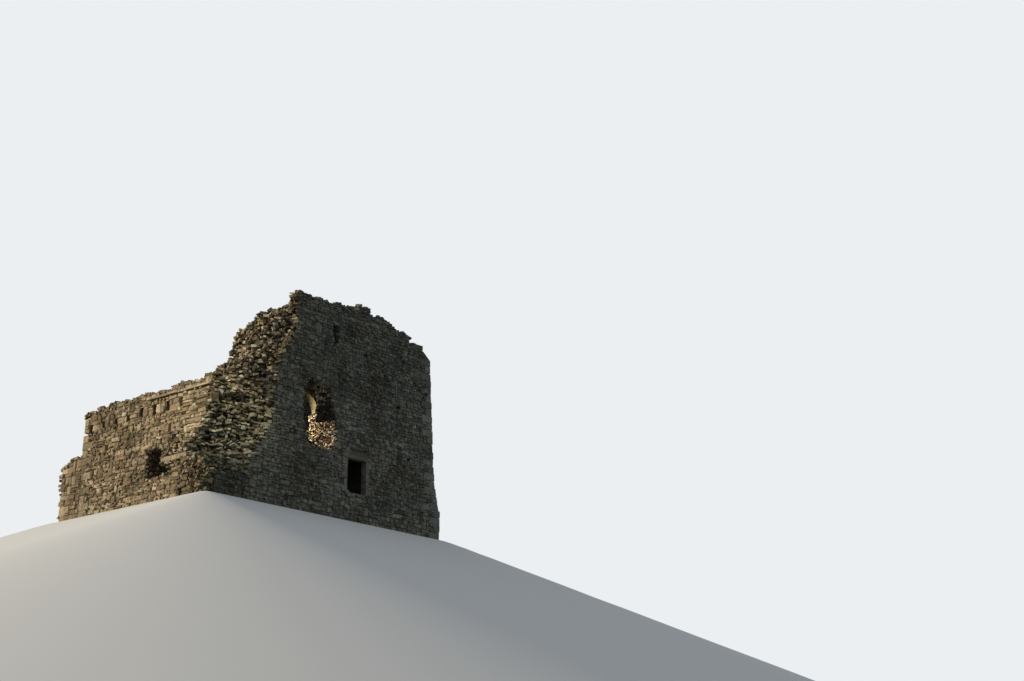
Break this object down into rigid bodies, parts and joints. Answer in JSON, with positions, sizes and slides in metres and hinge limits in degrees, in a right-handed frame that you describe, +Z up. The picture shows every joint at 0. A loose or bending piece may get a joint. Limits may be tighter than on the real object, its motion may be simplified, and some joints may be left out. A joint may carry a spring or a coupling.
{
  "type": "ruined castle keep",
  "caption": "Roofless rubble-stone keep with a tall doorway wall, a fallen corner torn back in steps, and a low wall with joist sockets.",
  "frame": {"origin": "centre of the bounding box, on the base plane", "axes": "+X along the front wall to the right, +Y from the front wall into the keep, +Z up"},
  "size_m": [17.05, 12.5, 12.38],
  "materials": {
    "grey_rubble": "weathered limestone rubble, cool grey with lichen",
    "warm_rubble": "weathered limestone rubble, warm buff grey",
    "torn_core": "torn rubble core with mortar",
    "dressed_stone": "roughly dressed limestone blocks",
    "earth_floor": "trodden earth and rubble fill"
  },
  "bodies": {
    "root": {"front_wall_foot_left": "grey_rubble", "front_wall_under_window": "grey_rubble", "front_wall_over_window": "grey_rubble", "front_wall_between": "grey_rubble", "front_wall_under_door": "grey_rubble", "front_wall_over_door": "grey_rubble", "front_wall_right": "grey_rubble", "door_sill_stone": "dressed_stone", "door_jamb_left": "dressed_stone", "door_jamb_right": "dressed_stone", "door_lintel": "dressed_stone", "door_relieving_slabs": "dressed_stone", "window_left_reveal": "grey_rubble", "window_right_reveal": "grey_rubble", "window_torn_rubble": "torn_core", "window_rear_arch": "warm_rubble", "corner_core": "torn_core", "corner_shoulder": "torn_core", "torn_end_low": "torn_core", "torn_end_high": "torn_core", "return_wall_low": "torn_core", "return_wall_middle": "torn_core", "return_wall_high": "torn_core", "left_wall_near": "warm_rubble", "left_wall_under_embrasure": "warm_rubble", "left_wall_over_embrasure": "warm_rubble", "left_wall_middle": "warm_rubble", "left_wall_back": "warm_rubble", "socket_stones": "warm_rubble", "socket_heads": "warm_rubble", "left_wall_band": "warm_rubble", "left_wall_ledge": "warm_rubble", "left_wall_parapet": "warm_rubble", "embrasure_slab": "dressed_stone", "curtain_stub": "warm_rubble", "back_wall_left": "grey_rubble", "back_wall_under_embrasure": "grey_rubble", "back_wall_over_embrasure": "grey_rubble", "back_wall_right": "grey_rubble", "right_wall_front": "grey_rubble", "right_wall_back": "grey_rubble", "quoins_right_front": "dressed_stone", "quoins_right_back": "dressed_stone", "quoins_left_back": "dressed_stone", "ground_floor": "earth_floor"}
  },
  "joints": []
}
